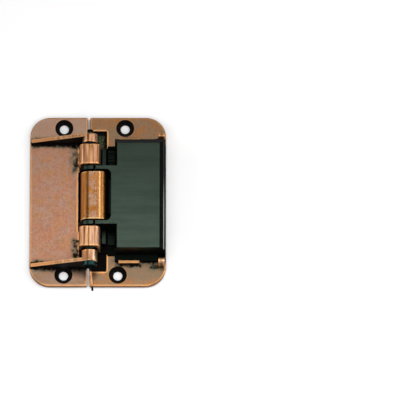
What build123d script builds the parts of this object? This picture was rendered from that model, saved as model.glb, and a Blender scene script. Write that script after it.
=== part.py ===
from build123d import *
import os
from math import acos, atan2, cos, hypot, sin

os.makedirs("parts", exist_ok=True)

# A center hinge for a folding door, lying open on its back. Two cast leaves turn on a raised pin.
# X runs across the leaves, Y along the pin, Z up from the screwed-down faces.
# The origin lies under the pin, half way along the leaves, in the plane of those faces.

# Leaves
leaf_length = 80.0
leaf_thickness = 2.2
leaf_corner_radius = 9.2
leaf_edge_round = 0.5
leaf_inner_corner = 0.6
left_leaf_edge = -27.2
left_leaf_inner_edge = -1.25
right_leaf_edge = 34.2
leaf_gap = 1.1

# Pin
pin_height = 10.5
pin_radius = 2.0
pin_flat = 1.5
pin_nub_radius = 1.4
pin_nub_length = 2.4
pin_nub_round = 0.5
pin_head_radius = 3.2
pin_head_length = 2.1
pin_head_round = 0.5

# Fits
running_clearance = 0.05
seat_clearance = 0.02
free_gap = 0.3

# Screw holes, countersunk
screw_hole_radius = 2.1
sink_radius = 3.95
sink_depth = 1.7
screw_from_end = 5.2
left_screw_x = -11.9
right_upper_screw_x = 15.7
right_lower_screw_x = 12.6

# Gussets and bosses of the left leaf
gusset_thickness = 1.6
gusset_low_height = 1.6
gusset_setback = 0.5
upper_gusset_y = 27.3
lower_gusset_y = -29.9
boss_radius = 3.5
boss_end_round = 0.7
notch_edge = -5.0
notch_upper_y = 25.6
notch_lower_y = -27.0
cam_bay_edge = -5.5
cam_bay_upper_y = 14.0
cam_bay_lower_y = -14.4
notch_corner = 0.5

# Knuckles of the right leaf
knuckle_radius = 4.75
knuckle_crown = 4.7
knuckle_crown_round = 2.9
knuckle_length = 9.6
knuckle_end_round = 0.5
upper_knuckle_y = 18.6
lower_knuckle_y = -20.1
riser_thickness = 2.4
seam_offset = -0.36
seam_width = 0.3
seam_depth = 0.25
pocket_edge = 7.55
pocket_upper_y = 33.5
pocket_lower_y = -33.3
pocket_corner = 0.8
pocket_floor = 0.8
tongue_clearance = 0.08

# Flanged bushes in the knuckles
bush_wall = 0.7
bush_flange_radius = 3.5
bush_flange = 1.1

# Cam on the pin
cam_upper_y = 10.3
cam_lower_y = -12.4
cam_back = 4.1
cam_nose = 7.15
cam_crown = 5.0
cam_sole = 4.6
cam_nose_round = 2.6
cam_back_round = 4.0
cam_end_round = 0.4

# Spring box
box_upper_y = 26.2
box_lower_y = -25.8
box_left = 11.2
box_wall = 1.7
box_edge_setback = 0.2
box_height = 15.2
box_bevel = 2.6
box_left_bevel = 1.1
bridge_left = 9.6
lug_thickness = 1.6
lug_slit = 1.1
lug_slit_x = 2.05
recess_corner = 2.4
skirt_left = 7.8
skirt_thickness = 0.7
skirt_upper_y = 26.0
skirt_lower_y = -25.9
shoulder_gap = 0.75
shoulder_wall = 1.6
shoulder_height = 6.4
step_left = 8.1
step_height = 4.4
lower_shoulder_trim = 3.5
upper_rib_places = (0.8, 3.7, 5.1)
lower_rib_places = (1.1, 2.4)
rib_width = 0.6
rib_height = 0.6
foot_height = 1.7
near_foot_depth = 2.8
far_foot_depth = 1.6

# Tabs of the right leaf that hold the spring box
tab_thickness = 1.15
tab_left = 13.0
tab_length = 9.3
tab_height = 2.4
tab_seat = 0.1
post_width = 2.8
post_thickness = 2.2
post_height = 8.0
post_gap = 0.2

# Follower and its springs
follower_depth = 5.0
follower_length = 44.0
follower_headroom = 0.1
follower_travel = 2.5
follower_nose_length = 16.0
follower_nose_height = 3.2
follower_nose_gap = 0.4
follower_round = 0.6
spring_inset = 8.0
spring_radius = 3.4
spring_wire_radius = 0.5
spring_turns = 6
stud_radius = 2.2
stud_length = 4.0

# Fine wire in the head of the pin
wire_radius = 0.5
wire_length = 11.0
wire_socket = 1.4
wire_lean = 6.5
wire_dip = 7.0

# Places that follow from these sizes
overcut = 1.0
half_length = leaf_length / 2
screw_y = half_length - screw_from_end
right_leaf_inner_edge = left_leaf_inner_edge + leaf_gap
upper_gusset_outer = upper_gusset_y + gusset_thickness
lower_gusset_outer = lower_gusset_y - gusset_thickness
half_knuckle = knuckle_length / 2
upper_knuckle_far = upper_knuckle_y + half_knuckle
upper_knuckle_near = upper_knuckle_y - half_knuckle
lower_knuckle_far = lower_knuckle_y + half_knuckle
lower_knuckle_near = lower_knuckle_y - half_knuckle
upper_boss_end = upper_knuckle_far + bush_flange + free_gap
lower_boss_end = lower_knuckle_near - bush_flange - free_gap
cam_middle_y = (cam_upper_y + cam_lower_y) / 2
cam_reach = hypot(cam_nose - cam_nose_round, cam_crown - cam_nose_round) + cam_nose_round
box_right = right_leaf_edge - box_edge_setback
box_floor = leaf_thickness
box_ceiling = box_height - box_wall - box_bevel / 2
box_inner_left = box_left + box_wall
box_middle_y = (box_upper_y + box_lower_y) / 2
near_foot_y = box_lower_y - near_foot_depth
far_foot_y = box_upper_y + far_foot_depth
post_left = right_leaf_edge - leaf_edge_round - post_width
half_lug = lug_thickness / 2
lug_radius = box_height - pin_height
upper_lug_y = (upper_knuckle_near + cam_upper_y) / 2
lower_lug_y = (lower_knuckle_far + cam_lower_y) / 2
follower_front = box_inner_left + running_clearance
follower_back = follower_front + follower_depth
follower_low = box_floor + free_gap
follower_top = box_ceiling - follower_headroom
spring_z = (follower_low + follower_top) / 2
spring_end = box_right - box_wall
spring_reach = follower_length / 2 - spring_inset
upper_spring_y = box_middle_y + spring_reach
lower_spring_y = box_middle_y - spring_reach


def along_pin(profile, y_far, y_near):
    """Extrude a profile drawn in X and Z from y_far down to y_near."""
    return extrude(Plane.XZ.offset(-y_far) * profile, y_far - y_near)


def block(x_low, x_high, y_low, y_high, z_low, z_high):
    """Make a box from its lowest and highest corners."""
    size = Box(x_high - x_low, y_high - y_low, z_high - z_low)
    return Pos((x_low + x_high) / 2, (y_low + y_high) / 2, (z_low + z_high) / 2) * size


def round_along_pin(radius, y_far, y_near):
    """Make a cylinder on the pin's axis."""
    return along_pin(Pos(0, pin_height) * Circle(radius), y_far, y_near)


def tangent_point(x, z, radius, side):
    """Find where a line from a point touches a circle round the pin, on the side given by its sign."""
    reach = hypot(x, z - pin_height)
    bearing = atan2(z - pin_height, x)
    turn = bearing + side * acos(radius / reach)
    return radius * cos(turn), pin_height + radius * sin(turn)


def screw_hole(x, y):
    """Make the cutter of one countersunk screw hole."""
    hole = Pos(x, y, leaf_thickness / 2) * Cylinder(screw_hole_radius, leaf_thickness + overcut)
    sink = Pos(x, y, leaf_thickness - sink_depth / 2) * Cone(screw_hole_radius, sink_radius, sink_depth)
    return hole + sink


def leaf_plate(x_low, x_high, outer_side):
    """Make one flat leaf with its two outer corners rounded and its upper rim eased."""
    centre = Pos((x_low + x_high) / 2, 0)
    outline = centre * Rectangle(x_high - x_low, leaf_length)
    ordered = outline.vertices().sort_by(Axis.X)
    outer = ordered[-2:] if outer_side > 0 else ordered[:2]
    outline = fillet(outer, leaf_corner_radius)
    inner_x = x_low if outer_side > 0 else x_high
    inner = [v for v in outline.vertices() if abs(v.X - inner_x) < seat_clearance]
    outline = fillet(inner, leaf_inner_corner)
    plate = extrude(outline, leaf_thickness)
    rim = plate.faces().sort_by(Axis.Z)[-1].edges()
    return fillet(rim, leaf_edge_round)


def gusset(y_inner, outward):
    """Make one upright gusset of the left leaf, from its low outer end up to the boss round the pin."""
    low_x = left_leaf_edge + gusset_setback
    root = leaf_thickness / 2
    low_top = leaf_thickness + gusset_low_height
    upper = tangent_point(low_x, low_top, boss_radius, -1)
    lower = tangent_point(left_leaf_inner_edge, root, boss_radius, 1)
    web = make_face(Polyline(
        (low_x, root), (low_x, low_top), upper, (0, pin_height), lower, (left_leaf_inner_edge, root),
        close=True))
    y_outer = y_inner + outward * gusset_thickness
    return along_pin(web, max(y_inner, y_outer), min(y_inner, y_outer))


def boss(y_inner, y_outer):
    """Make one boss of the left leaf round the pin, its outer end eased."""
    barrel = round_along_pin(boss_radius, max(y_inner, y_outer), min(y_inner, y_outer))
    rims = barrel.edges().filter_by(GeomType.CIRCLE).sort_by(Axis.Y)
    return fillet(rims[-1] if y_outer > y_inner else rims[0], boss_end_round)


def opening(x_left, x_right, y_low, y_high, z_low, corner):
    """Make the cutter of an opening in a leaf, its corners rounded."""
    cutter = block(x_left, x_right, y_low, y_high, z_low, leaf_thickness + overcut)
    return fillet(cutter.edges().filter_by(Axis.Z), corner)


def make_left_leaf():
    """Plate, notch for knuckles and cam, two gussets with bosses, pin holes and screw holes."""
    leaf = leaf_plate(left_leaf_edge, left_leaf_inner_edge, -1)
    beyond = left_leaf_inner_edge + overcut
    leaf -= opening(notch_edge, beyond, notch_lower_y, notch_upper_y, -overcut, notch_corner)
    leaf -= opening(cam_bay_edge, beyond, cam_bay_lower_y, cam_bay_upper_y, -overcut, notch_corner)
    leaf += gusset(upper_gusset_y, 1)
    leaf += gusset(lower_gusset_y, -1)
    leaf += boss(upper_boss_end, upper_gusset_outer)
    leaf += boss(lower_boss_end, lower_gusset_outer)
    leaf -= round_along_pin(pin_radius + seat_clearance, half_length, -half_length)
    for y in (screw_y, -screw_y):
        leaf -= screw_hole(left_screw_x, y)
    return leaf


def knuckle(y_middle):
    """Make one knuckle, round below and square above, with its riser and the seam on its crown."""
    y_far = y_middle + half_knuckle
    y_near = y_middle - half_knuckle
    upper = Pos(0, knuckle_crown / 2) * Rectangle(2 * knuckle_radius, knuckle_crown)
    crown_corners = upper.vertices().sort_by(Axis.Y)[-2:]
    section = Circle(knuckle_radius) + fillet(crown_corners, knuckle_crown_round)
    section = section & Rectangle(2 * knuckle_radius, 2 * knuckle_crown)
    barrel = along_pin(Pos(0, pin_height) * section, y_far, y_near)
    barrel = fillet(barrel.faces().filter_by(Axis.Y).edges(), knuckle_end_round)
    riser_left = knuckle_radius - riser_thickness
    riser_far = y_far - knuckle_end_round
    riser_near = y_near + knuckle_end_round
    riser = block(riser_left, knuckle_radius, riser_near, riser_far, 0, pin_height)
    foot = block(riser_left, pocket_edge + overcut, riser_near, riser_far, 0, leaf_thickness)
    crown = pin_height + knuckle_crown
    seam_left = seam_offset - seam_width / 2
    seam = block(seam_left, seam_left + seam_width, y_near - overcut, y_far + overcut,
                 crown - seam_depth, crown + overcut)
    bore = round_along_pin(pin_radius + running_clearance + bush_wall + seat_clearance,
                           y_far + overcut, y_near - overcut)
    return barrel + riser + foot - bore - seam


def post(y_middle):
    """Make one round-topped post that stands beside the box at the outer edge of the right leaf."""
    half = post_thickness / 2
    straight = post_height - half
    upright = Rectangle(post_thickness, straight + leaf_thickness)
    profile = Pos(0, (leaf_thickness + straight) / 2) * upright
    profile += Pos(0, leaf_thickness + straight) * Circle(half)
    return extrude(Plane.YZ.offset(post_left) * (Pos(y_middle, 0) * profile), post_width)


def tongue(edge, y_low, y_high):
    """Make the thin part of the right leaf that fills an opening of the left leaf, under the pin."""
    plate = block(edge + tongue_clearance, right_leaf_inner_edge + overcut, y_low + tongue_clearance,
                  y_high - tongue_clearance, 0, pocket_floor)
    corners = plate.edges().filter_by(Axis.Z).sort_by(Axis.X)[:2]
    return fillet(corners, notch_corner)


def make_right_leaf():
    """Plate with a pocket and a tongue under the pin, two knuckles, and tabs and posts for the box."""
    leaf = leaf_plate(right_leaf_inner_edge, right_leaf_edge, 1)
    leaf -= opening(left_leaf_inner_edge - overcut, pocket_edge, pocket_lower_y, pocket_upper_y,
                    pocket_floor, pocket_corner)
    leaf += tongue(notch_edge, notch_lower_y, notch_upper_y)
    leaf += tongue(cam_bay_edge, cam_bay_lower_y, cam_bay_upper_y)
    leaf += knuckle(upper_knuckle_y)
    leaf += knuckle(lower_knuckle_y)
    tab_top = leaf_thickness + tab_height
    tab_right = tab_left + tab_length
    far_tab = far_foot_y + tab_seat
    near_tab = near_foot_y - tab_seat
    leaf += block(tab_left, tab_right, far_tab, far_tab + tab_thickness, leaf_thickness / 2, tab_top)
    leaf += block(tab_left, tab_right, near_tab - tab_thickness, near_tab, leaf_thickness / 2, tab_top)
    leaf += post(far_foot_y + post_gap + post_thickness / 2)
    leaf += post(near_foot_y - post_gap - post_thickness / 2)
    leaf -= screw_hole(right_upper_screw_x, screw_y)
    leaf -= screw_hole(right_lower_screw_x, -screw_y)
    return leaf


def make_pin():
    """Headed pin with a flat under the cam and a small nub at its far end, socket in the head."""
    shank = round_along_pin(pin_radius, upper_gusset_outer, lower_gusset_outer)
    nub = round_along_pin(pin_nub_radius, upper_gusset_outer + pin_nub_length, upper_gusset_outer)
    nub = fillet(nub.edges().sort_by(Axis.Y)[-1], pin_nub_round)
    head = round_along_pin(pin_head_radius, lower_gusset_outer, lower_gusset_outer - pin_head_length)
    head = fillet(head.edges().sort_by(Axis.Y)[0], pin_head_round)
    flat = block(-pin_radius, pin_radius, cam_lower_y, cam_upper_y,
                 pin_height + pin_flat, pin_height + pin_radius + overcut)
    pin = shank + nub + head - flat
    return pin - wire_rod(wire_radius + seat_clearance)


def wire_rod(radius):
    """Make the leaning wire, or the cutter of its socket, from inside the pin's head outwards."""
    start = Location((0, lower_gusset_outer - pin_head_length + wire_socket, pin_height))
    lean = Rot(0, 0, wire_lean) * Rot(wire_dip, 0, 0) * Rot(90, 0, 0)
    length = wire_socket + wire_length
    return start * lean * Pos(0, 0, length / 2) * Cylinder(radius, length)


def make_wire():
    """Fine round wire with an eased tip."""
    rod = wire_rod(wire_radius)
    return chamfer(rod.edges().filter_by(GeomType.CIRCLE).sort_by(Axis.Y)[0], wire_radius / 2)


def make_bush(y_knuckle, outward):
    """Flanged bush in one knuckle, the flange on the side of the boss."""
    outer = pin_radius + running_clearance + bush_wall
    y_seat = y_knuckle + outward * half_knuckle
    y_end = y_knuckle - outward * half_knuckle
    y_flange = y_seat + outward * bush_flange
    sleeve = round_along_pin(outer, max(y_flange, y_end), min(y_flange, y_end))
    flange = round_along_pin(bush_flange_radius, max(y_flange, y_seat), min(y_flange, y_seat))
    return sleeve + flange - round_along_pin(pin_radius + running_clearance, half_length, -half_length)


def make_cam():
    """Cam with a flat crown and a flat nose, locked on the pin's flat."""
    corners = make_face(Polyline((-cam_back, -cam_sole), (-cam_back, cam_crown), (cam_nose, cam_crown),
                                 (cam_nose, -cam_sole), close=True))
    back = corners.vertices().sort_by(Axis.X)[:2]
    profile = fillet(back, cam_back_round)
    nose = [v for v in profile.vertices() if abs(v.X - cam_nose) < seat_clearance]
    profile = fillet(nose, cam_nose_round)
    cam = along_pin(Pos(0, pin_height) * profile, cam_upper_y, cam_lower_y)
    ends = cam.faces().filter_by(Axis.Y).edges()
    cam = fillet(ends, cam_end_round)
    bore_radius = pin_radius + seat_clearance
    bore = Circle(bore_radius)
    bore -= Pos(0, pin_flat + seat_clearance + pin_radius) * Rectangle(2 * bore_radius, 2 * pin_radius)
    return cam - along_pin(Pos(0, pin_height) * bore, half_length, -half_length)


def shoulder(y_low, y_high, rib_places):
    """Make the low wall and the ribbed step of the box beside one knuckle, ribs set from its far end."""
    wall_left = knuckle_radius + shoulder_gap
    wall_right = wall_left + shoulder_wall
    skirt_top = box_floor + skirt_thickness
    solid = block(wall_left, wall_right, y_low, y_high, box_floor, shoulder_height)
    solid += block(wall_left, box_inner_left, y_low, y_high, box_floor, skirt_top)
    solid += block(step_left, box_inner_left, y_low, y_high, box_floor, step_height)
    for place in rib_places:
        rib_low = y_high - place - rib_width / 2
        solid += block(step_left, box_inner_left, rib_low, rib_low + rib_width,
                       box_floor, step_height + rib_height)
    return solid


def lug(y_middle):
    """Make one lug of the box, a clip round the pin with a slit beside its crown."""
    y_low = y_middle - half_lug
    y_high = y_middle + half_lug
    arm = block(0, box_inner_left, y_low, y_high, pin_height - lug_radius, box_height)
    slit = block(lug_slit_x - lug_slit / 2, lug_slit_x + lug_slit / 2, y_low - overcut, y_high + overcut,
                 pin_height, box_height + overcut)
    return arm + round_along_pin(lug_radius, y_high, y_low) - slit


def recess_web(y_inner, inward):
    """Make the rounded inner corner between a lug and the bridge of the box."""
    y_centre = y_inner + inward * recess_corner
    corner_x = bridge_left - recess_corner
    web = block(corner_x, bridge_left, min(y_inner, y_centre), max(y_inner, y_centre),
                pin_height - lug_radius, box_height)
    rounding = Cylinder(recess_corner, 2 * (lug_radius + overcut))
    return web - Pos(corner_x, y_centre, pin_height) * rounding


def make_spring_box():
    """Moulded box, open below, bevelled on three sides, with lugs, shoulders, a skirt and feet."""
    bevel_foot = box_height - box_bevel
    section = make_face(Polyline(
        (box_left, box_floor), (box_left, bevel_foot), (box_left + box_left_bevel, box_height),
        (box_right - box_bevel, box_height), (box_right, bevel_foot), (box_right, box_floor), close=True))
    shell = along_pin(section, box_upper_y, box_lower_y)
    far_edge = shell.faces().sort_by(Axis.Z)[-1].edges().sort_by(Axis.Y)[-1]
    shell = chamfer(far_edge, box_bevel)
    bridge_low = lower_lug_y - half_lug
    bridge_high = upper_lug_y + half_lug
    shell += block(bridge_left, box_inner_left, bridge_low, bridge_high, box_floor, box_height)
    for y in (upper_lug_y, lower_lug_y):
        shell += lug(y)
    shell += recess_web(upper_lug_y - half_lug, -1)
    shell += recess_web(lower_lug_y + half_lug, 1)
    skirt_top = box_floor + skirt_thickness
    shell += block(skirt_left, box_inner_left, skirt_lower_y, skirt_upper_y, box_floor, skirt_top)
    shell += shoulder(upper_knuckle_near, upper_knuckle_far, upper_rib_places)
    shell += shoulder(lower_knuckle_near + lower_shoulder_trim, lower_knuckle_far, lower_rib_places)
    foot_top = box_floor + foot_height
    shell += block(box_left, post_left - free_gap, near_foot_y, box_lower_y + box_wall, box_floor, foot_top)
    shell += block(tab_left, tab_left + tab_length, box_upper_y - box_wall, far_foot_y, box_floor, foot_top)
    shell -= block(box_inner_left, box_right - box_wall, box_lower_y + box_wall, box_upper_y - box_wall,
                   box_floor - overcut, box_ceiling)
    nose_half = follower_nose_length / 2 + running_clearance
    slot_half = follower_nose_height / 2 + running_clearance
    slot_end = follower_front + follower_round + follower_travel + running_clearance
    shell -= block(bridge_left - overcut, slot_end, cam_middle_y - nose_half, cam_middle_y + nose_half,
                   pin_height - slot_half, pin_height + slot_half)
    return shell - round_along_pin(pin_radius + running_clearance, half_length, -half_length)


def make_follower():
    """Sliding follower with a nose towards the cam and a stud inside each spring."""
    half = follower_length / 2
    nose_half = follower_nose_length / 2
    nose_rise = follower_nose_height / 2
    body = block(follower_front, follower_back, box_middle_y - half, box_middle_y + half,
                 follower_low, follower_top)
    body = fillet(body.edges().filter_by(Axis.Z), follower_round)
    nose = block(cam_reach + follower_nose_gap, follower_front + follower_round, cam_middle_y - nose_half,
                 cam_middle_y + nose_half, pin_height - nose_rise, pin_height + nose_rise)
    tip = nose.edges().filter_by(Axis.Y).sort_by(Axis.X)[:2]
    body += fillet(tip, follower_round)
    stud = Rot(0, 90, 0) * Cylinder(stud_radius, stud_length)
    for y in (upper_spring_y, lower_spring_y):
        body += Pos(follower_back + stud_length / 2, y, spring_z) * stud
    return body


def make_spring(y):
    """Compression spring between the follower and the outer wall of the box."""
    end_room = spring_wire_radius + running_clearance
    length = spring_end - follower_back - 2 * end_room
    path = Helix(length / spring_turns, length, spring_radius - spring_wire_radius)
    section = Plane(origin=path @ 0, z_dir=path % 0) * Circle(spring_wire_radius)
    coil = sweep(section, path=path)
    return Pos(follower_back + end_room, y, spring_z) * Rot(0, 90, 0) * coil


pieces = {
    "left_leaf": make_left_leaf(),
    "right_leaf": make_right_leaf(),
    "hinge_pin": make_pin(),
    "release_wire": make_wire(),
    "upper_bush": make_bush(upper_knuckle_y, 1),
    "lower_bush": make_bush(lower_knuckle_y, -1),
    "cam": make_cam(),
    "spring_box": make_spring_box(),
    "follower": make_follower(),
    "upper_spring": make_spring(upper_spring_y),
    "lower_spring": make_spring(lower_spring_y),
}

for name, solid in pieces.items():
    export_step(solid, f"parts/{name}.step")
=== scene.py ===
# %% [markdown]
# # Dressing a center hinge
# The hinge arrives as finished solids: two cast leaves, a pin with a cam, a spring box and its
# inside. Every piece already has its true shape, so this lesson is about finishes: antique copper
# that is dark in its hollows and rubbed bright along its edges, blackened steel, and moulded black
# resin. All lengths are in metres. X runs across the leaves, Y along the pin, and Z up from the
# leaves' backs.

# %% Load the hinge
import math

import bpy
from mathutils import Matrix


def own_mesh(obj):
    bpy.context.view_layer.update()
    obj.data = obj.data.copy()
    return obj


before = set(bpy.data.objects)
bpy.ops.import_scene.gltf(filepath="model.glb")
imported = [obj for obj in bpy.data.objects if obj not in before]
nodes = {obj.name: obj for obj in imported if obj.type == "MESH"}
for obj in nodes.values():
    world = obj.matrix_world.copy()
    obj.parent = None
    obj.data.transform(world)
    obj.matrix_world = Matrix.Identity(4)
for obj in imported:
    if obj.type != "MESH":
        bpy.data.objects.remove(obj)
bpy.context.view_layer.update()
bpy.ops.object.select_all(action="DESELECT")
print("pieces:", sorted(nodes))

# %% [markdown]
# ## Node helpers
# A finish is a small tree of nodes. Short helpers keep each tree readable: they add a node, wire
# two sockets, do arithmetic on masks, and turn a value into a soft-edged mask.
#
# A ramp is written as the two values it runs between, followed by its results at those two where
# they aren't 0 and 1. A band is written as its two ends and the softness of both.


# %% Node helpers
def add_node(tree, kind, **values):
    node = tree.nodes.new(kind)
    for name, value in values.items():
        setattr(node, name, value)
    return node


def wire(tree, source, target):
    tree.links.new(source, target)


def calculate(tree, operation, first, second=None, clamp=False):
    node = add_node(tree, "ShaderNodeMath", operation=operation, use_clamp=clamp)
    for socket, value in zip(node.inputs, (first, second)):
        if value is None:
            continue
        if isinstance(value, (int, float)):
            socket.default_value = value
        else:
            wire(tree, value, socket)
    return node.outputs[0]


def product(tree, first, *others):
    for other in others:
        first = calculate(tree, "MULTIPLY", first, other)
    return first


def larger(tree, first, second):
    return calculate(tree, "MAXIMUM", first, second)


def opposite(tree, mask):
    return calculate(tree, "SUBTRACT", 1.0, mask)


def ramp_between(tree, value, low, high, start=0.0, end=1.0):
    node = add_node(tree, "ShaderNodeMapRange", interpolation_type="SMOOTHSTEP")
    node.inputs["From Min"].default_value = low
    node.inputs["From Max"].default_value = high
    node.inputs["To Min"].default_value = start
    node.inputs["To Max"].default_value = end
    wire(tree, value, node.inputs["Value"])
    return node.outputs["Result"]


def below(tree, value, low, high):
    return ramp_between(tree, value, low, high, 1.0, 0.0)


def band(tree, value, low, high, soft):
    rise = ramp_between(tree, value, low - soft, low + soft)
    return product(tree, rise, below(tree, value, high - soft, high + soft))


def mix_colour(tree, share, first, second):
    node = add_node(tree, "ShaderNodeMix", data_type="RGBA")
    sockets = (node.inputs[0], node.inputs[6], node.inputs[7])
    for socket, value in zip(sockets, (share, first, second)):
        if isinstance(value, tuple):
            socket.default_value = (*value, 1.0)
        else:
            wire(tree, value, socket)
    return node.outputs[2]


def place_of(tree):
    coordinates = add_node(tree, "ShaderNodeTexCoord")
    split = add_node(tree, "ShaderNodeSeparateXYZ")
    wire(tree, coordinates.outputs["Object"], split.inputs[0])
    return coordinates.outputs["Object"], split.outputs


def changed_place(tree, place, operation, amounts):
    node = add_node(tree, "ShaderNodeVectorMath", operation=operation)
    node.inputs[1].default_value = amounts
    wire(tree, place, node.inputs[0])
    return node.outputs[0]


def noise(tree, place, scale, detail=4.0, roughness=0.6):
    node = add_node(tree, "ShaderNodeTexNoise")
    node.inputs["Detail"].default_value = detail
    node.inputs["Roughness"].default_value = roughness
    if isinstance(scale, float):
        node.inputs["Scale"].default_value = scale
    else:
        wire(tree, scale, node.inputs["Scale"])
    wire(tree, place, node.inputs["Vector"])
    return node.outputs["Fac"]


def occlusion(tree, reach, samples, **values):
    node = add_node(tree, "ShaderNodeAmbientOcclusion", samples=samples, **values)
    if isinstance(reach, float):
        node.inputs["Distance"].default_value = reach
    else:
        wire(tree, reach, node.inputs["Distance"])
    return node.outputs["AO"]


def new_group(name, inputs, outputs):
    group = bpy.data.node_groups.new(name, "ShaderNodeTree")
    kind = "NodeSocketFloat"
    for label, value in inputs:
        socket = group.interface.new_socket(label, in_out="INPUT", socket_type=kind)
        socket.default_value = value
    for label in outputs:
        group.interface.new_socket(label, in_out="OUTPUT", socket_type=kind)
    given = add_node(group, "NodeGroupInput").outputs
    made = add_node(group, "NodeGroupOutput").inputs
    return group, given, made


def use_group(tree, group, **values):
    node = add_node(tree, "ShaderNodeGroup", node_tree=group)
    for label, value in values.items():
        node.inputs[label].default_value = value
    return node.outputs


print("helpers ready")

# %% [markdown]
# ## Effects that the finishes share
# Plated castings are blackened all over and then rubbed. The rubbing reaches the outer edges first
# and never reaches the hollows. Ambient occlusion finds both: looked at from outside it darkens in a
# hollow, and looked at from inside the metal it darkens along an outer edge.

# %% Rubbed edges and dark hollows
occlusion_samples = 12
edge_ramp = (0.03, 0.26)
edge_gap_scale = 420.0
hollow_ramp = (0.02, 0.5)

edge_inputs = [("Reach", 0.0006), ("Breakup", 0.5)]
edge_group, given, made = new_group("rubbed_edges", edge_inputs, ["Mask"])
place, _ = place_of(edge_group)
inside = occlusion(edge_group, given["Reach"], occlusion_samples, inside=True, only_local=True)
raw_edge = ramp_between(edge_group, opposite(edge_group, inside), *edge_ramp)
gaps = product(edge_group, given["Breakup"], noise(edge_group, place, edge_gap_scale))
mask = calculate(edge_group, "MULTIPLY", raw_edge, opposite(edge_group, gaps), clamp=True)
wire(edge_group, mask, made["Mask"])

hollow_group, given, made = new_group("dark_hollows", [("Reach", 0.003)], ["Mask"])
outside = occlusion(hollow_group, given["Reach"], occlusion_samples, only_local=True)
mask = ramp_between(hollow_group, opposite(hollow_group, outside), *hollow_ramp)
wire(hollow_group, mask, made["Mask"])
print("groups:", edge_group.name, hollow_group.name)

# %% [markdown]
# Cloudy mottling with a fine grain gives each plated surface its life. Streaks along the pin are what
# the polishing wheel left on the knuckles and the cam.

# %% Mottling and streaks
mottle_roughness = 0.68
mottle_layers = [
    {"result": "Clouds", "scale": "Cloud", "detail": 6.0, "shift": 0.0},
    {"result": "Tints", "scale": "Cloud", "detail": 4.0, "shift": 0.37},
    {"result": "Grain", "scale": "Grain", "detail": 3.0, "shift": 0.0},
]
streak_stretch = (1.0, 0.05, 1.0)
streak_detail = 3.0
streak_roughness = 0.5

mottle_inputs = [("Cloud", 190.0), ("Grain", 1500.0)]
mottle_results = [layer["result"] for layer in mottle_layers]
mottle_group, given, made = new_group("mottling", mottle_inputs, mottle_results)
place, _ = place_of(mottle_group)
for layer in mottle_layers:
    moved = changed_place(mottle_group, place, "ADD", (layer["shift"],) * 3)
    scale = given[layer["scale"]]
    mottled = noise(mottle_group, moved, scale, layer["detail"], mottle_roughness)
    wire(mottle_group, mottled, made[layer["result"]])

streak_group, given, made = new_group("polish_streaks", [("Scale", 900.0)], ["Streaks"])
place, _ = place_of(streak_group)
drawn = changed_place(streak_group, place, "MULTIPLY", streak_stretch)
streaked = noise(streak_group, drawn, given["Scale"], streak_detail, streak_roughness)
wire(streak_group, streaked, made["Streaks"])
print("groups:", mottle_group.name, streak_group.name)

# %% [markdown]
# Patina stays where the wheel couldn't reach: in the countersinks, along the feet of the gussets and
# round the box. One group gives a soft-edged oblong patch, and another a round one, each set by its
# centre and size.


# %% Patches of patina
def distance(tree, offsets):
    squares = [calculate(tree, "MULTIPLY", offset, offset) for offset in offsets]
    return calculate(tree, "SQRT", calculate(tree, "ADD", *squares))


def offset_from_centre(tree, axes, given, axis):
    return calculate(tree, "SUBTRACT", axes[axis], given["Centre " + axis])


sink_ramp = (-0.00008, 0.00008)

centre_inputs = [("Centre X", 0.0), ("Centre Y", 0.0)]
patch_inputs = centre_inputs + [("Half X", 0.001), ("Half Y", 0.001), ("Soft", 0.003)]
patch_group, given, made = new_group("oblong_patch", patch_inputs, ["Mask"])
_, axes = place_of(patch_group)
offsets = []
for axis in ("X", "Y"):
    off = calculate(patch_group, "ABSOLUTE", offset_from_centre(patch_group, axes, given, axis))
    beyond = calculate(patch_group, "SUBTRACT", off, given["Half " + axis])
    offsets.append(larger(patch_group, beyond, 0.0))
fade = calculate(patch_group, "DIVIDE", distance(patch_group, offsets), given["Soft"], clamp=True)
wire(patch_group, opposite(patch_group, fade), made["Mask"])

sink_inputs = centre_inputs + [("Radius", 0.004)]
sink_group, given, made = new_group("countersink", sink_inputs, ["Mask"])
_, axes = place_of(sink_group)
offsets = [offset_from_centre(sink_group, axes, given, axis) for axis in ("X", "Y")]
within = calculate(sink_group, "SUBTRACT", given["Radius"], distance(sink_group, offsets))
wire(sink_group, ramp_between(sink_group, within, *sink_ramp), made["Mask"])
print("groups:", patch_group.name, sink_group.name)

# %% [markdown]
# Every material starts from the same surface shader. The masks that most of them use are patches on
# the leaf and the faces that look along one axis of the piece. A fine bump comes last, and the grain
# sets how rough each spot is.

# %% Parts of every material
grain_span = (0.3, 0.7)


def start_material(name, metallic):
    material = bpy.data.materials.new(name)
    material.use_nodes = True
    tree = material.node_tree
    surface = tree.nodes["Principled BSDF"]
    surface.inputs["Metallic"].default_value = metallic
    return material, tree, surface


def add_bump(tree, surface, height, strength, depth):
    bump = add_node(tree, "ShaderNodeBump")
    bump.inputs["Strength"].default_value = strength
    bump.inputs["Distance"].default_value = depth
    wire(tree, height, bump.inputs["Height"])
    wire(tree, bump.outputs["Normal"], surface.inputs["Normal"])


def oblong(tree, x_low, x_high, y_low, y_high, soft):
    sizes = {
        "Centre X": (x_low + x_high) / 2,
        "Centre Y": (y_low + y_high) / 2,
        "Half X": (x_high - x_low) / 2,
        "Half Y": (y_high - y_low) / 2,
        "Soft": soft,
    }
    return use_group(tree, patch_group, **sizes)["Mask"]


def round_sink(tree, x, y, radius):
    sizes = {"Centre X": x, "Centre Y": y, "Radius": radius}
    return use_group(tree, sink_group, **sizes)["Mask"]


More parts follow.
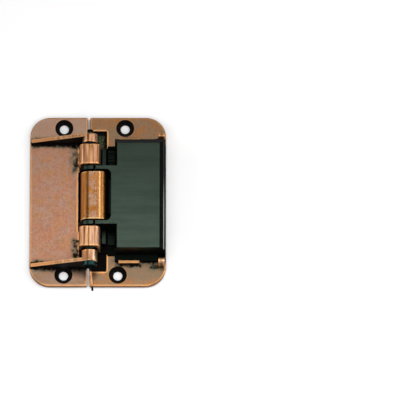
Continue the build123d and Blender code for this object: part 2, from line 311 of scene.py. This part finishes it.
def looking_along(tree, axis, low, high):
    geometry = add_node(tree, "ShaderNodeNewGeometry")
    turned = add_node(tree, "ShaderNodeVectorTransform", vector_type="NORMAL")
    turned.convert_from, turned.convert_to = "WORLD", "OBJECT"
    wire(tree, geometry.outputs["True Normal"], turned.inputs[0])
    split = add_node(tree, "ShaderNodeSeparateXYZ")
    wire(tree, turned.outputs[0], split.inputs[0])
    return ramp_between(tree, calculate(tree, "ABSOLUTE", split.outputs[axis]), low, high)


print("material parts ready")

# %% [markdown]
# ## Antique copper
# The two leaves came from two batches: the gusseted leaf is pinker, the other more olive. Both start
# from cloudy tones with pits, specks and a faint grain from the wheel. Knuckles and bosses, which
# stand high above the leaves, were rubbed harder and show its streaks; a painted highlight makes the
# right half of the near knuckle and boss palest.

# %% Copper tones
pink_tones = ((0.52, 0.235, 0.135), (0.47, 0.275, 0.195), (0.53, 0.25, 0.12), (0.2, 0.11, 0.07))
olive_tones = ((0.41, 0.19, 0.08), (0.34, 0.215, 0.125), (0.45, 0.19, 0.065), (0.16, 0.1, 0.055))
cloud_ramp = (0.4, 0.6)
tint_ramp = (0.48, 0.62)
pit_ramp = (0.28, 0.6, 0.26, 0.0)
speck_noise = (1700.0, 2.0)
dark_speck_ramp = (0.36, 0.52, 0.2, 0.0)
pale_speck_ramp = (0.5, 0.66, 0.0, 0.26)
grain_line_ramp = (0.5, 0.68, 0.0, 0.3)

wheel_brown = (0.37, 0.14, 0.045)
wheel_bright = (0.74, 0.4, 0.23)
# Painted highlight: this pale tone lightens the right half of the near knuckle and boss.
highlight_pale = (0.95, 0.68, 0.48)
wheel_ramp = (0.41, 0.59)
near_highlight_ramp = (-0.022, -0.012, 0.6, 0.0)
right_highlight_ramp = (-0.0006, 0.0008)
highlight_streak_ramp = (0.44, 0.56, 0.35, 1.0)


def cloudy_copper(tree, place, mottle, streaks, tones):
    warm, pale, tint, deep = tones
    specks = noise(tree, place, *speck_noise)
    layers = [
        (mottle["Clouds"], cloud_ramp, pale),
        (mottle["Tints"], tint_ramp, tint),
        (mottle["Grain"], pit_ramp, deep),
        (specks, dark_speck_ramp, deep),
        (specks, pale_speck_ramp, pale),
        (streaks, grain_line_ramp, pale),
    ]
    colour = warm
    for value, ramp, tone in layers:
        colour = mix_colour(tree, ramp_between(tree, value, *ramp), colour, tone)
    return colour


# The pale tone on the right half of the near end is a painted highlight.
def wheel_copper(tree, axes, streaks):
    colour = mix_colour(tree, ramp_between(tree, streaks, *wheel_ramp), wheel_brown, wheel_bright)
    near = ramp_between(tree, axes["Y"], *near_highlight_ramp)
    right = ramp_between(tree, axes["X"], *right_highlight_ramp)
    pale = product(tree, near, right, ramp_between(tree, streaks, *highlight_streak_ramp))
    return mix_colour(tree, pale, colour, highlight_pale)


print("tones for each leaf:", len(pink_tones))

# %% [markdown]
# Patina gathers in hollows and on listed patches, with a ragged edge: greenish where it is thin,
# black where it is thick. Two of the box's patches, in front of its near end by the tab and the post,
# are painted shadow laid on in the same way. Dull areas are smooth and only change the tone; the pale
# one on the far strip of the gusseted leaf is a painted pool of light. A patch is given as its lowest
# and highest X, its lowest and highest Y, and the width of its soft edge, with its weight before it.

# %% Patches on the leaves
gusset_feet = [
    (1.0, (-0.0262, -0.0012, 0.0268, 0.0289, 0.0034)),
    (1.0, (-0.0262, -0.0012, -0.0315, -0.0294, 0.0034)),
]
notch_ends = [
    (0.74, (-0.0078, -0.001, 0.0145, 0.026, 0.0045)),
    (0.74, (-0.0072, -0.001, -0.0285, -0.0185, 0.004)),
]
# The first patch is patina round the box; the other two are painted shadow in front of its near end.
box_patina_and_shadow = [
    (1.0, (0.0135, 0.0342, -0.0284, 0.0262, 0.0034)),
    (0.74, (0.0275, 0.0342, -0.0318, -0.0286, 0.0036)),
    (0.8, (0.0118, 0.0232, -0.0306, -0.0286, 0.0026)),
]
# The pale tone on the far strip of the gusseted leaf is a painted pool of light; the grey is dull
# patina.
painted_light_pale = (0.56, 0.43, 0.32)
grey_dull = (0.21, 0.18, 0.125)
left_dull_and_light = [
    (0.35, painted_light_pale, (-0.0262, -0.002, 0.0305, 0.0385, 0.002)),
    (0.5, grey_dull, (-0.0262, -0.002, -0.0385, -0.033, 0.002)),
]
right_dulled = [
    (0.3, grey_dull, (0.0085, 0.016, 0.027, 0.034, 0.003)),
    (0.6, grey_dull, (0.018, 0.033, -0.0355, -0.031, 0.003)),
    (0.45, grey_dull, (0.0078, 0.0105, -0.0345, -0.0275, 0.0012)),
]
# Painted shade: black under the box's shoulder and under the pin.
shade_under_box = (0.007, 0.011, -0.0252, 0.0252, 0.0002)
shade_under_pin = (-0.006, 0.0074, -0.0332, 0.0334, 0.0001)
# Painted sheen: a green-grey reflection on the black under the pin.
painted_sheen_under_pin = (0.0042, 0.0058, 0.0262, 0.0308, 0.0012)
left_holes = [(-0.0119, 0.0348), (-0.0119, -0.0348)]
right_holes = [(0.0157, 0.0348), (0.0126, -0.0348)]
sink_radius = 0.0041
print("patches of patina:", len(gusset_feet + notch_ends + box_patina_and_shadow))

# %% [markdown]
# Each leaf is finished in layers: plating, dull areas (one of them a painted pool of light) and thin
# patina, then the rubbed edges and a painted shade that darkens the upright sides of the rims, near
# black at their foot, and last the black of the patina and of painted shade. On the gusseted leaf the
# flanks of the gussets, which look along the pin, are painted black for the shade on them, and the
# bosses are stained at their sides. On the other leaf black is painted for the shade under the pin
# and under the box's shoulder, with a painted green-grey sheen in it, and a thin dark line runs along
# the top of its knuckles.

# %% Antique copper
off_back_ramp = (0.0001, 0.0003)
leaf_top_ramp = (0.0026, 0.0031)
raised_ramp = (0.0072, 0.0082)

patina_reach = 0.0042
ragged_noise = (560.0, 6.0, 0.75)
spread_share, ragged_share = 0.55, 0.8
green_ramp = (0.58, 0.82, 0.0, 0.8)
patina_green = (0.165, 0.155, 0.1)
black_ramp = (0.76, 0.9)
patina_and_shade_black = (0.006, 0.005, 0.0045)

boss_side_ramp = (0.0016, 0.0028)
boss_stain_ramp = (0.46, 0.6, 0.15, 0.8)
boss_stain = (0.1, 0.105, 0.07)
crest_band = (0.0031, 0.0078, 0.0003)
crest_share = 0.65
crest_orange = (0.52, 0.2, 0.06)
# Painted shade: the flanks of the gussets, which look along the pin, are black.
shaded_flank_facing_ramp = (0.8, 0.95)
shaded_flank_foot_ramp = (0.0021, 0.0023)

gusset_edge_ramp = (0.0025, 0.0035, 1.0, 0.5)
edge_orange = (1.0, 0.5, 0.19)
flat_facing_ramp = (0.9, 0.99)
# Painted shade: the upright sides of the rims are darker brown, near black at their foot.
rim_ramp = (0.00188, 0.00218)
rim_shade_brown = (0.24, 0.078, 0.01)
rim_foot_ramp = (0.0002, 0.0009)
rim_foot_shadow = (0.02, 0.008, 0.003)

# A thin dark line along the top of the knuckles.
knuckle_line_band = (-0.00051, -0.00021, 0.00008)
knuckle_line_height_ramp = (0.0115, 0.0125, 0.0, 0.9)
sheen_ramp = (0.36, 0.56)
painted_sheen_green = (0.15, 0.185, 0.1)
copper_rough = (0.4, 0.34)
black_rough = 0.3


def spread_patina(tree, ragged, on_leaf, patches):
    spread = use_group(tree, hollow_group, Reach=patina_reach)["Mask"]
    for weight, patch in patches:
        spread = larger(tree, spread, product(tree, oblong(tree, *patch), on_leaf, weight))
    spread = product(tree, spread, spread_share)
    return calculate(tree, "ADD", spread, product(tree, ragged, ragged_share))


def stained_gussets(tree, axes, raised, ragged, colour):
    aside = ramp_between(tree, calculate(tree, "ABSOLUTE", axes["X"]), *boss_side_ramp)
    stain = product(tree, aside, raised, ramp_between(tree, ragged, *boss_stain_ramp))
    colour = mix_colour(tree, stain, colour, boss_stain)
    crest = product(tree, band(tree, axes["Z"], *crest_band), crest_share)
    return mix_colour(tree, crest, colour, crest_orange)


def shaded_rims(tree, axes, colour):
    upright = opposite(tree, looking_along(tree, "Z", *flat_facing_ramp))
    rim = product(tree, upright, below(tree, axes["Z"], *rim_ramp))
    colour = mix_colour(tree, rim, colour, rim_shade_brown)
    foot = product(tree, upright, below(tree, axes["Z"], *rim_foot_ramp))
    return mix_colour(tree, foot, colour, rim_foot_shadow)


# Black of the patina and the countersinks, with painted shade on the gusset flanks and under the pin
# and box.
def black_places(tree, axes, patina, on_leaf, holes, gusseted):
    black = ramp_between(tree, patina, *black_ramp)
    for x, y in holes:
        sink = product(tree, round_sink(tree, x, y, sink_radius), on_leaf)
        black = larger(tree, black, sink)
    if gusseted:
        shaded_flank = looking_along(tree, "Y", *shaded_flank_facing_ramp)
        shaded_flank = product(tree, shaded_flank, ramp_between(tree, axes["Z"], *shaded_flank_foot_ramp))
        return larger(tree, black, shaded_flank)
    for patch in (shade_under_box, shade_under_pin):
        black = larger(tree, black, product(tree, oblong(tree, *patch), on_leaf))
    knuckle_line = band(tree, axes["X"], *knuckle_line_band)
    knuckle_line = product(tree, knuckle_line, ramp_between(tree, axes["Z"], *knuckle_line_height_ramp))
    return larger(tree, black, knuckle_line)


def antique_copper(name, tones, holes, patches, dull_and_lit, gusseted):
    material, tree, surface = start_material(name, metallic=0.9)
    place, axes = place_of(tree)
    mottle = use_group(tree, mottle_group, Cloud=210.0, Grain=800.0)
    streaks = use_group(tree, streak_group, Scale=1100.0)["Streaks"]
    ragged = noise(tree, place, *ragged_noise)
    on_leaf = ramp_between(tree, axes["Z"], *off_back_ramp)
    on_leaf = product(tree, on_leaf, below(tree, axes["Z"], *leaf_top_ramp))
    raised = ramp_between(tree, axes["Z"], *raised_ramp)

    colour = cloudy_copper(tree, place, mottle, streaks, tones)
    colour = mix_colour(tree, raised, colour, wheel_copper(tree, axes, streaks))
    for weight, tone, patch in dull_and_lit:
        colour = mix_colour(tree, product(tree, oblong(tree, *patch), weight), colour, tone)
    patina = spread_patina(tree, ragged, on_leaf, patches)
    colour = mix_colour(tree, ramp_between(tree, patina, *green_ramp), colour, patina_green)

    edges = use_group(tree, edge_group, Reach=0.001, Breakup=0.35)["Mask"]
    if gusseted:
        colour = stained_gussets(tree, axes, raised, ragged, colour)
        edges = product(tree, edges, ramp_between(tree, axes["Z"], *gusset_edge_ramp))
    colour = mix_colour(tree, edges, colour, edge_orange)
    colour = shaded_rims(tree, axes, colour)

    black = black_places(tree, axes, patina, on_leaf, holes, gusseted)
    colour = mix_colour(tree, black, colour, patina_and_shade_black)
    if not gusseted:
        sheen = product(tree, oblong(tree, *painted_sheen_under_pin), on_leaf)
        sheen = product(tree, sheen, ramp_between(tree, ragged, *sheen_ramp))
        colour = mix_colour(tree, sheen, colour, painted_sheen_green)
    wire(tree, colour, surface.inputs["Base Color"])

    rough = ramp_between(tree, mottle["Grain"], *grain_span, *copper_rough)
    rough = calculate(tree, "ADD", rough, product(tree, black, black_rough))
    wire(tree, rough, surface.inputs["Roughness"])
    add_bump(tree, surface, mottle["Grain"], strength=0.16, depth=0.00012)
    return material


pink_copper = antique_copper(
    "pink_antique_copper",
    pink_tones,
    left_holes,
    patches=gusset_feet + notch_ends,
    dull_and_lit=left_dull_and_light,
    gusseted=True,
)
olive_copper = antique_copper(
    "olive_antique_copper",
    olive_tones,
    right_holes,
    patches=box_patina_and_shadow,
    dull_and_lit=right_dulled,
    gusseted=False,
)
print("copper:", pink_copper.name, olive_copper.name)

# %% [markdown]
# ## The cam
# The cam was rubbed hardest. Its crown has a broken greyish pink middle, its flanks are a warm orange
# brown, and a painted highlight runs as a bright line along the far side of the crown.

# %% Cam copper
cam_brown = (0.27, 0.095, 0.014)
cam_orange = (0.42, 0.165, 0.038)
cam_pink = (0.36, 0.21, 0.13)
cam_highlight = (1.0, 0.6, 0.26)
cam_edge = (1.0, 0.6, 0.24)
cam_streak_ramp = (0.38, 0.62)
crown_band = (-0.001, 0.0034, 0.0012)
crown_cloud_ramp = (0.38, 0.58)
highlight_band = (0.0042, 0.0049, 0.0003)
highlight_share = 0.85
cam_rough = (0.4, 0.26)

cam_copper, tree, surface = start_material("rubbed_cam_copper", metallic=0.92)
_, axes = place_of(tree)
mottle = use_group(tree, mottle_group, Cloud=330.0, Grain=1300.0)
streaks = use_group(tree, streak_group, Scale=700.0)["Streaks"]
colour = mix_colour(tree, ramp_between(tree, streaks, *cam_streak_ramp), cam_brown, cam_orange)
crown = band(tree, axes["X"], *crown_band)
crown = product(tree, crown, ramp_between(tree, mottle["Clouds"], *crown_cloud_ramp))
colour = mix_colour(tree, crown, colour, cam_pink)
# Painted highlight: a bright line along the crown.
highlight = product(tree, band(tree, axes["X"], *highlight_band), highlight_share)
colour = mix_colour(tree, highlight, colour, cam_highlight)
edges = use_group(tree, edge_group, Reach=0.0008, Breakup=0.3)["Mask"]
wire(tree, mix_colour(tree, edges, colour, cam_edge), surface.inputs["Base Color"])
rough = ramp_between(tree, mottle["Grain"], *grain_span, *cam_rough)
wire(tree, rough, surface.inputs["Roughness"])
add_bump(tree, surface, mottle["Grain"], strength=0.12, depth=0.0001)
print("cam:", cam_copper.name)

# %% [markdown]
# ## Steel
# The pin is blackened steel with a faint blue-green bloom, which stops short of the ends of the pin.
# The springs are drawn steel.

# %% Steel
drawn_cloud_ramp = (0.35, 0.65)
steel_edge_share = 0.4
end_facing_ramp = (0.6, 0.9)


def steel(name, dark, light, rough, edge_colour, bloom, shine, bloomed=None):
    material, tree, surface = start_material(name, metallic=0.0)
    surface.inputs["Specular Tint"].default_value = (*bloom, 1.0)
    mottle = use_group(tree, mottle_group, Cloud=500.0, Grain=2200.0)
    colour = mix_colour(tree, ramp_between(tree, mottle["Clouds"], *drawn_cloud_ramp), dark, light)
    edges = use_group(tree, edge_group, Reach=0.0004, Breakup=0.6)["Mask"]
    colour = mix_colour(tree, product(tree, edges, steel_edge_share), colour, edge_colour)
    wire(tree, colour, surface.inputs["Base Color"])
    grained = ramp_between(tree, mottle["Grain"], *grain_span, *rough)
    wire(tree, grained, surface.inputs["Roughness"])
    gloss = product(tree, opposite(tree, looking_along(tree, "Y", *end_facing_ramp)), shine)
    if bloomed:
        _, axes = place_of(tree)
        gloss = product(tree, gloss, band(tree, axes["Y"], *bloomed))
    wire(tree, gloss, surface.inputs["Specular IOR Level"])
    add_bump(tree, surface, mottle["Grain"], strength=0.15, depth=0.00006)
    return material


pin_steel = steel(
    "blackened_pin_steel",
    dark=(0.003, 0.004, 0.004),
    light=(0.006, 0.01, 0.01),
    rough=(0.16, 0.28),
    edge_colour=(0.02, 0.05, 0.046),
    bloom=(0.3, 1.0, 0.92),
    shine=0.4,
    bloomed=(-0.0334, 0.03, 0.0004),
)
spring_steel = steel(
    "spring_steel",
    dark=(0.1, 0.1, 0.09),
    light=(0.2, 0.2, 0.19),
    rough=(0.25, 0.35),
    edge_colour=(0.3, 0.3, 0.29),
    bloom=(1.0, 1.0, 1.0),
    shine=1.0,
)
print("steel:", pin_steel.name, spring_steel.name)

# %% [markdown]
# ## The wire
# The wire in the pin's head is coppered. Its tip is black, and its root under the head is painted
# black for the shade that falls there.

# %% Coppered wire
tip_ramp = (-0.0428, -0.0418)
# Painted shade: the root of the wire under the head is black.
shaded_root_ramp = (-0.0361, -0.0353)
wire_brown = (0.5, 0.2, 0.07)
wire_bright = (0.75, 0.38, 0.18)
wire_black = (0.008, 0.009, 0.008)
wire_rough = 0.35
end_rough = 0.3

wire_copper, tree, surface = start_material("coppered_wire", metallic=0.9)
_, axes = place_of(tree)
mottle = use_group(tree, mottle_group, Cloud=500.0, Grain=2200.0)
clouds = ramp_between(tree, mottle["Clouds"], *drawn_cloud_ramp)
colour = mix_colour(tree, clouds, wire_brown, wire_bright)
tip = below(tree, axes["Y"], *tip_ramp)
ends = larger(tree, tip, ramp_between(tree, axes["Y"], *shaded_root_ramp))
wire(tree, mix_colour(tree, ends, colour, wire_black), surface.inputs["Base Color"])
rough = calculate(tree, "ADD", product(tree, ends, end_rough), wire_rough)
wire(tree, rough, surface.inputs["Roughness"])
print("wire:", wire_copper.name)

# %% [markdown]
# ## Moulded resin
# The box is black resin with a greenish grey sheen on the faces that look up, strongest on the top
# and towards the near end, with faint bands across it. The faces that don't look up are painted near
# black for shade. Fine spark-eroded texture from the mould breaks up the gloss, and a painted
# highlight lightens one long edge.

# %% Resin
resin_tint = (0.7, 1.0, 0.78)
resin_cloud_ramp = (0.3, 0.7)
# Painted shade: faces that don't look up are near black.
shaded_side_black = (0.002, 0.0022, 0.002)
upward_ramp = (0.75, 0.95)
side_share = 0.05
# Painted highlight along one long edge of the box.
edge_highlight_grey = (0.36, 0.4, 0.36)
edge_highlight_band = (0.0331, 0.0335, 0.00008)
edge_highlight_height_ramp = (0.011, 0.0125)
edge_highlight_along_ramp = (-0.01, 0.012, 0.9, 0.1)
step_sheen_ramp = (0.0034, 0.0066, 0.0, 0.5)
top_sheen_ramp = (0.009, 0.014, 0.0, 0.5)
along_sheen_ramp = (-0.026, 0.026, 1.14, 0.8)
ripple_stretch = (0.12, 1.0, 1.0)
ripple_noise = (240.0, 3.0)
ripple_ramp = (0.35, 0.65, 0.86, 1.06)


def highlighted_edge(tree, axes):
    across = band(tree, axes["X"], *edge_highlight_band)
    high = ramp_between(tree, axes["Z"], *edge_highlight_height_ramp)
    return product(tree, across, high, ramp_between(tree, axes["Y"], *edge_highlight_along_ramp))


def resin_sheen(tree, place, axes, upward, sheen):
    facing = calculate(tree, "ADD", product(tree, upward, 1.0 - side_share), side_share)
    on_steps = ramp_between(tree, axes["Z"], *step_sheen_ramp)
    on_top = ramp_between(tree, axes["Z"], *top_sheen_ramp)
    height = calculate(tree, "ADD", on_steps, on_top)
    along = ramp_between(tree, axes["Y"], *along_sheen_ramp)
    flow = changed_place(tree, place, "MULTIPLY", ripple_stretch)
    ripple = ramp_between(tree, noise(tree, flow, *ripple_noise), *ripple_ramp)
    return product(tree, facing, sheen, height, along, ripple)


def resin(name, dark, light, rough, sheen):
    material, tree, surface = start_material(name, metallic=0.0)
    surface.inputs["Specular Tint"].default_value = (*resin_tint, 1.0)
    place, axes = place_of(tree)
    mottle = use_group(tree, mottle_group, Cloud=90.0, Grain=2600.0)
    upward = looking_along(tree, "Z", *upward_ramp)
    colour = mix_colour(tree, ramp_between(tree, mottle["Clouds"], *resin_cloud_ramp), dark, light)
    colour = mix_colour(tree, upward, shaded_side_black, colour)
    colour = mix_colour(tree, highlighted_edge(tree, axes), colour, edge_highlight_grey)
    wire(tree, colour, surface.inputs["Base Color"])
    grained = ramp_between(tree, mottle["Grain"], *grain_span, *rough)
    wire(tree, grained, surface.inputs["Roughness"])
    polish = resin_sheen(tree, place, axes, upward, sheen)
    wire(tree, polish, surface.inputs["Specular IOR Level"])
    add_bump(tree, surface, mottle["Grain"], strength=0.12, depth=0.00005)
    return material


box_resin = resin(
    "black_box_resin",
    dark=(0.0045, 0.007, 0.005),
    light=(0.0065, 0.01, 0.0075),
    rough=(0.28, 0.42),
    sheen=0.72,
)
bush_resin = resin(
    "black_bush_resin",
    dark=(0.004, 0.004, 0.004),
    light=(0.008, 0.008, 0.007),
    rough=(0.44, 0.58),
    sheen=0.15,
)
print("resin:", box_resin.name, bush_resin.name)

# %% Give each piece its finish
finishes = {
    "left_leaf": pink_copper,
    "right_leaf": olive_copper,
    "cam": cam_copper,
    "hinge_pin": pin_steel,
    "release_wire": wire_copper,
    "upper_bush": bush_resin,
    "lower_bush": bush_resin,
    "spring_box": box_resin,
    "follower": bush_resin,
    "upper_spring": spring_steel,
    "lower_spring": spring_steel,
}
for name, material in finishes.items():
    nodes[name].data.materials.clear()
    nodes[name].data.materials.append(material)
print("finished:", len(finishes), "pieces")

# %% [markdown]
# ## Springs
# The follower runs back into the box as the cam turns, and the two springs behind it shorten by as
# much. Each spring here only gets a mesh of its own.

# %% Springs get meshes of their own
for name in ("upper_spring", "lower_spring"):
    spring = nodes[name]
    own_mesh(spring)

# %% [markdown]
# ## Floor, light and camera
# The hinge lies on a white sheet under a big soft light. The floor adds a little glow of its own for
# the camera and for reflections, so that it reads as white paper and still keeps the soft shadow. In
# narrow slots, where little light would reach the paper, the glow is turned down.

# %% Floor
floor_size = 60.0
floor_level = -0.0002
paper_white = (0.86, 0.86, 0.86)
paper_glow = 0.36
slot_reach = 0.0012
slot_samples = 16
slot_ramp = (0.35, 0.85, 0.1, 1.0)

bpy.ops.mesh.primitive_plane_add(size=floor_size, location=(0.0, 0.0, floor_level))
floor = bpy.context.active_object
floor.name = "white_floor"
bpy.ops.object.transform_apply(location=True, rotation=True, scale=True)
paper = bpy.data.materials.new("white_paper")
paper.use_nodes = True
tree = paper.node_tree
tree.nodes.clear()
output = add_node(tree, "ShaderNodeOutputMaterial")
sheet = add_node(tree, "ShaderNodeBsdfDiffuse")
sheet.inputs["Color"].default_value = (*paper_white, 1.0)
glow = add_node(tree, "ShaderNodeEmission")
path = add_node(tree, "ShaderNodeLightPath")
seen = larger(tree, path.outputs["Is Camera Ray"], path.outputs["Is Glossy Ray"])
seen = larger(tree, seen, path.outputs["Is Transmission Ray"])
open_paper = ramp_between(tree, occlusion(tree, slot_reach, slot_samples), *slot_ramp)
wire(tree, product(tree, seen, open_paper, paper_glow), glow.inputs["Strength"])
both = add_node(tree, "ShaderNodeAddShader")
wire(tree, sheet.outputs[0], both.inputs[0])
wire(tree, glow.outputs[0], both.inputs[1])
wire(tree, both.outputs[0], output.inputs["Surface"])
floor.data.materials.append(paper)
print("floor:", floor.name)

# %% [markdown]
# The sky is brightest where the leaves mirror it towards the camera. Soft boxes low at the front and
# at the sides light the rims, and a small one above brightens the middle of the leaves. All of them
# face the hinge.

# %% Light
sky_towards = (0.0, 0.3, 0.954)
sky_ramp = (0.2, 0.97, 0.4, 0.86)

world = bpy.data.worlds.new("soft_studio")
bpy.context.scene.world = world
world.use_nodes = True
tree = world.node_tree
direction = add_node(tree, "ShaderNodeTexCoord")
facing = add_node(tree, "ShaderNodeVectorMath", operation="DOT_PRODUCT")
facing.inputs[1].default_value = sky_towards
wire(tree, direction.outputs["Generated"], facing.inputs[0])
sky_strength = ramp_between(tree, facing.outputs["Value"], *sky_ramp)
wire(tree, sky_strength, tree.nodes["Background"].inputs["Strength"])


def soft_box(name, place, size, power):
    lamp = bpy.data.lights.new(name, "AREA")
    lamp.shape = "RECTANGLE"
    lamp.size, lamp.size_y = size
    lamp.energy = power
    stand = bpy.data.objects.new(name, lamp)
    bpy.context.scene.collection.objects.link(stand)
    stand.location = place
    x, y, z = place
    stand.rotation_euler = (math.atan2(math.hypot(x, y), z), 0.0, math.atan2(x, -y))


soft_box("key_box", place=(0.0, 0.077, 0.35), size=(0.12, 0.12), power=0.13)
soft_box("front_box", place=(0.0, -0.35, 0.4), size=(0.4, 0.25), power=1.2)
soft_box("left_box", place=(-0.5, 0.05, 0.28), size=(0.3, 0.4), power=1.0)
soft_box("right_box", place=(0.36, 0.1, 0.52), size=(0.15, 0.45), power=0.8)
soft_box("low_right_box", place=(0.5, 0.0, 0.24), size=(0.25, 0.4), power=1.0)
print("lights:", len(bpy.data.lights))

# %% [markdown]
# The camera stands far off with a long lens, so that the view is almost without perspective. It looks
# past the hinge, which sits at the left of the picture.

# %% Camera
elevation = math.radians(72.0)
away = 3.0
frame_width = 0.1808
centre_x, centre_y = 0.0496, 0.0014

lens = bpy.data.cameras.new("photo_camera")
lens.sensor_width = 36.0
lens.lens = lens.sensor_width * away / frame_width
lens.clip_end = 100.0
camera = bpy.data.objects.new("photo_camera", lens)
bpy.context.scene.collection.objects.link(camera)
back, up = away * math.cos(elevation), away * math.sin(elevation)
camera.location = (centre_x, centre_y - back, up)
camera.rotation_euler = (math.pi / 2 - elevation, 0.0, 0.0)
bpy.context.scene.camera = camera
bpy.context.scene.view_settings.view_transform = "Standard"
print("lens:", round(lens.lens, 1), "mm")
